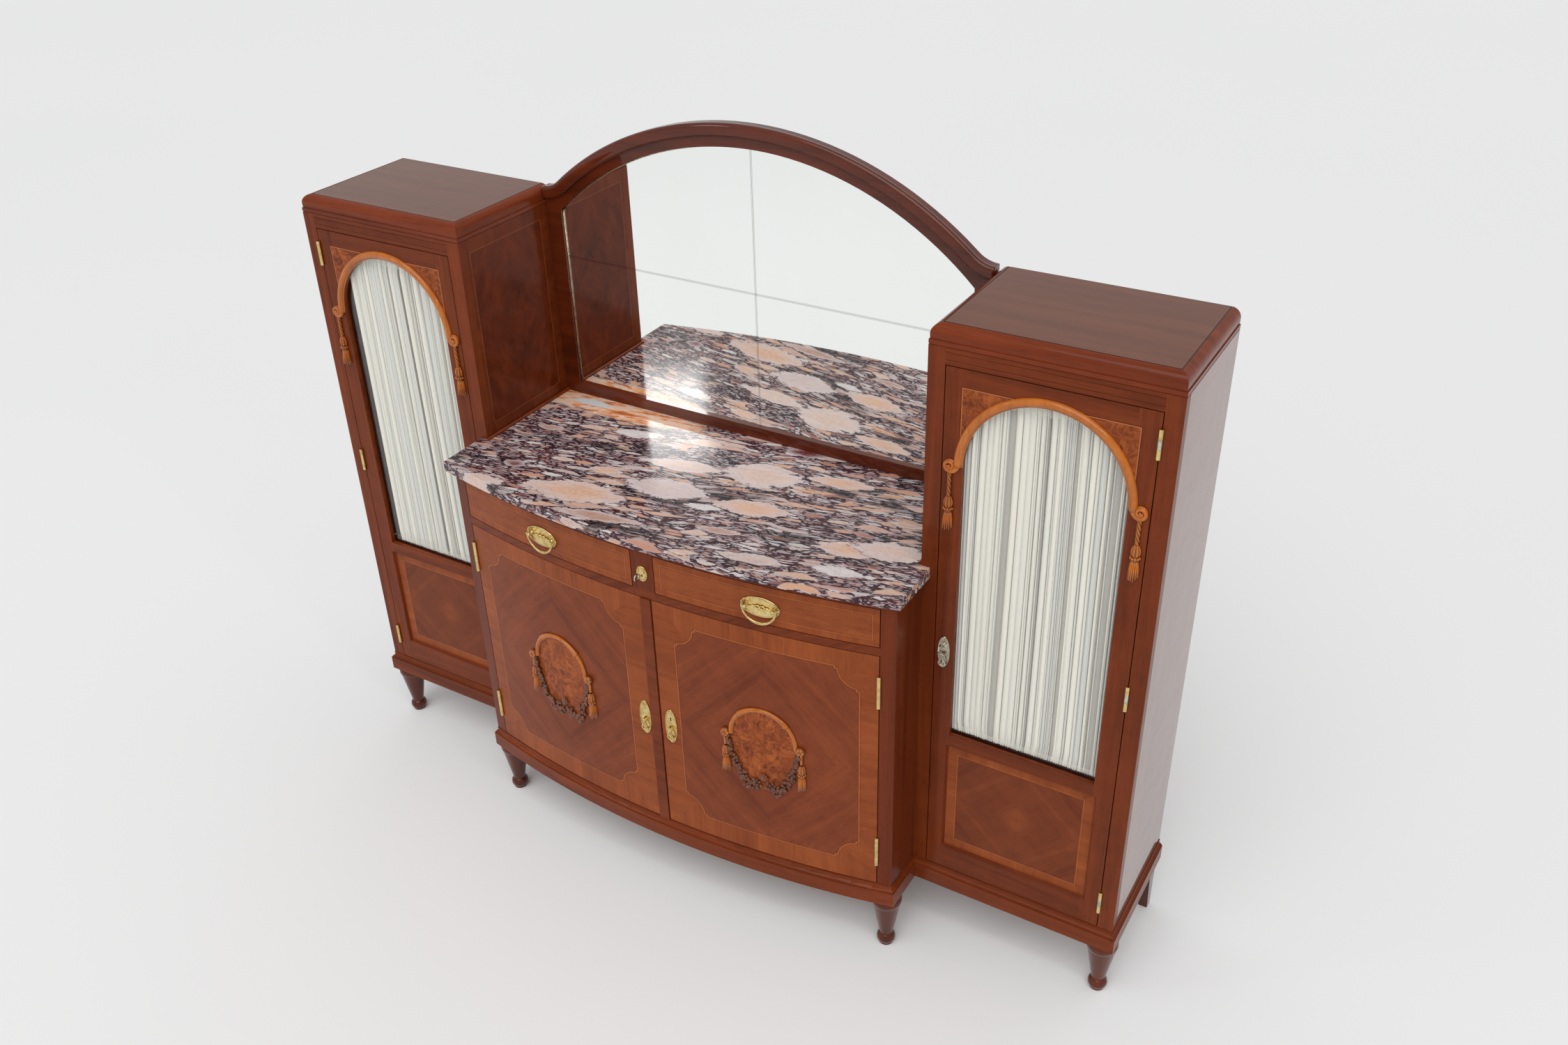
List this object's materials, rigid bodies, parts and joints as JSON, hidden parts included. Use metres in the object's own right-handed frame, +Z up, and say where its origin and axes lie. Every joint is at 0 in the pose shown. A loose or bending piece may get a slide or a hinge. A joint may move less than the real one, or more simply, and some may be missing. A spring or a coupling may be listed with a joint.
{
  "type": "breakfront display cabinet",
  "caption": "Breakfront display cabinet: bowed marble-topped cupboard with drawers between two glazed towers with gathered curtains and carved rope arches, arched mirror behind.",
  "frame": {"origin": "centre of the bounding box in plan, on the floor", "axes": "+X to the right seen from the front, +Y towards the back, +Z up"},
  "size_m": [2.0772, 0.521, 1.7078],
  "materials": {
    "mahogany": "polished",
    "carved_maple": "polished",
    "marble": "polished",
    "clear_glass": "clear",
    "mirror": "polished",
    "curtain": "sheer pleated",
    "brass": "satin",
    "pale_brass": "satin",
    "backing": "plain"
  },
  "bodies": {
    "case": {"tower_outer_sides": "mahogany", "tower_inner_sides": "mahogany", "tower_tops": "mahogany", "tower_bottoms": "mahogany", "tower_shelves": "mahogany", "tower_face_frames": "mahogany", "back_panels": "backing", "corner_posts": "mahogany", "centre_side_boards": "mahogany", "centre_boards": "mahogany", "front_rails": "mahogany", "centre_plinth_front": "mahogany", "plinth": "mahogany", "turned_feet": "mahogany", "rear_legs": "mahogany", "marble_top": "marble", "mirror_frame": "mahogany", "mirror_panes": "mirror", "mirror_backboard": "backing", "marble_beads": "mahogany", "case_hinge_leaves": "brass", "centre_lock": "brass"},
    "left_tower_door": {"left_tower_door_frame": "mahogany", "left_tower_door_panel": "mahogany", "left_tower_door_glass": "clear_glass", "left_tower_curtain": "curtain", "left_tower_curtain_rods": "brass", "left_tower_rope_arch": "carved_maple", "left_tower_fittings": "brass"},
    "left_tower_drop": {"left_tower_drop": "brass"},
    "left_centre_door": {"left_centre_door": "mahogany", "left_centre_wreath": "carved_maple", "left_centre_fittings": "brass", "left_centre_astragal": "mahogany"},
    "left_centre_drop": {"left_centre_drop": "brass"},
    "left_drawer": {"left_drawer_front": "mahogany", "left_drawer_box": "backing", "left_drawer_plate": "brass"},
    "left_drawer_bail": {"left_drawer_bail": "brass"},
    "right_tower_door": {"right_tower_door_frame": "mahogany", "right_tower_door_panel": "mahogany", "right_tower_door_glass": "clear_glass", "right_tower_curtain": "curtain", "right_tower_curtain_rods": "brass", "right_tower_rope_arch": "carved_maple", "right_tower_fittings": "pale_brass"},
    "right_tower_drop": {"right_tower_drop": "pale_brass"},
    "right_centre_door": {"right_centre_door": "mahogany", "right_centre_wreath": "carved_maple", "right_centre_fittings": "brass"},
    "right_centre_drop": {"right_centre_drop": "brass"},
    "right_drawer": {"right_drawer_front": "mahogany", "right_drawer_box": "backing", "right_drawer_plate": "brass"},
    "right_drawer_bail": {"right_drawer_bail": "brass"},
    "centre_key": {"centre_key": "pale_brass"},
    "centre_left_bolt": {"centre_left_bolt": "brass"},
    "centre_right_bolt": {"centre_right_bolt": "brass"},
    "right_tower_key": {"right_tower_key": "pale_brass"},
    "right_tower_bolt": {"right_tower_bolt": "brass"}
  },
  "joints": [
    {"name": "right_tower_door_swing", "type": "hinge", "parent": "case", "child": "right_tower_door", "pos_m": [0.9935, -0.0605, 0.815], "axis": [0, 0, 1], "range_deg": [0, 100]},
    {"name": "right_centre_door_swing", "type": "hinge", "parent": "case", "child": "right_centre_door", "pos_m": [0.5295, -0.17878, 0.51675], "axis": [0, 0, 1], "range_deg": [0, 105]},
    {"name": "right_drawer_slide", "type": "slide", "parent": "case", "child": "right_drawer", "axis": [0, -1, 0], "range_m": [0, 0.28]},
    {"name": "right_drawer_bail_swing", "type": "hinge", "parent": "right_drawer", "child": "right_drawer_bail", "pos_m": [0.28112, -0.22671, 0.89], "axis": [-0.9937, -0.112, 0], "range_deg": [0, 80]},
    {"name": "right_tower_drop_swing", "type": "hinge", "parent": "right_tower_door", "child": "right_tower_drop", "pos_m": [0.6146, -0.065, 0.79125], "axis": [-1, 0, 0], "range_deg": [0, 80]},
    {"name": "right_centre_drop_swing", "type": "hinge", "parent": "right_centre_door", "child": "right_centre_drop", "pos_m": [0.04313, -0.23963, 0.49235], "axis": [-0.9999, -0.0172, 0], "range_deg": [0, 80]},
    {"name": "left_tower_door_swing", "type": "hinge", "parent": "case", "child": "left_tower_door", "pos_m": [-0.9935, -0.0605, 0.815], "axis": [0, 0, -1], "range_deg": [0, 100]},
    {"name": "left_centre_door_swing", "type": "hinge", "parent": "case", "child": "left_centre_door", "pos_m": [-0.5295, -0.17878, 0.51675], "axis": [0, 0, -1], "range_deg": [0, 105]},
    {"name": "left_drawer_slide", "type": "slide", "parent": "case", "child": "left_drawer", "axis": [0, -1, 0], "range_m": [0, 0.28]},
    {"name": "left_drawer_bail_swing", "type": "hinge", "parent": "left_drawer", "child": "left_drawer_bail", "pos_m": [-0.28112, -0.22671, 0.89], "axis": [-0.9937, 0.112, 0], "range_deg": [0, 80]},
    {"name": "left_tower_drop_swing", "type": "hinge", "parent": "left_tower_door", "child": "left_tower_drop", "pos_m": [-0.6146, -0.065, 0.79125], "axis": [-1, 0, 0], "range_deg": [0, 80]},
    {"name": "left_centre_drop_swing", "type": "hinge", "parent": "left_centre_door", "child": "left_centre_drop", "pos_m": [-0.02658, -0.23986, 0.49235], "axis": [-0.9999, 0.0106, 0], "range_deg": [0, 80]},
    {"name": "centre_key_turn", "type": "hinge", "parent": "case", "child": "centre_key", "pos_m": [0, -0.2475, 0.891], "axis": [0, 1, 0], "range_deg": [0, 90]},
    {"name": "centre_left_bolt_slide", "type": "slide", "parent": "case", "child": "centre_left_bolt", "axis": [-1, 0, 0], "range_m": [0, 0.007]},
    {"name": "centre_right_bolt_slide", "type": "slide", "parent": "case", "child": "centre_right_bolt", "axis": [1, 0, 0], "range_m": [0, 0.007]},
    {"name": "right_tower_key_turn", "type": "hinge", "parent": "right_tower_door", "child": "right_tower_key", "pos_m": [0.6146, -0.0725, 0.813], "axis": [0, 1, 0], "range_deg": [0, 90]},
    {"name": "right_tower_bolt_slide", "type": "slide", "parent": "right_tower_door", "child": "right_tower_bolt", "axis": [-1, 0, 0], "range_m": [0, 0.007]}
  ],
  "couplings": [
    {"joint": "centre_left_bolt_slide", "follows": "centre_key_turn", "m_per_rad": 0.004456},
    {"joint": "centre_right_bolt_slide", "follows": "centre_key_turn", "m_per_rad": 0.004456},
    {"joint": "right_tower_bolt_slide", "follows": "right_tower_key_turn", "m_per_rad": 0.004456}
  ]
}
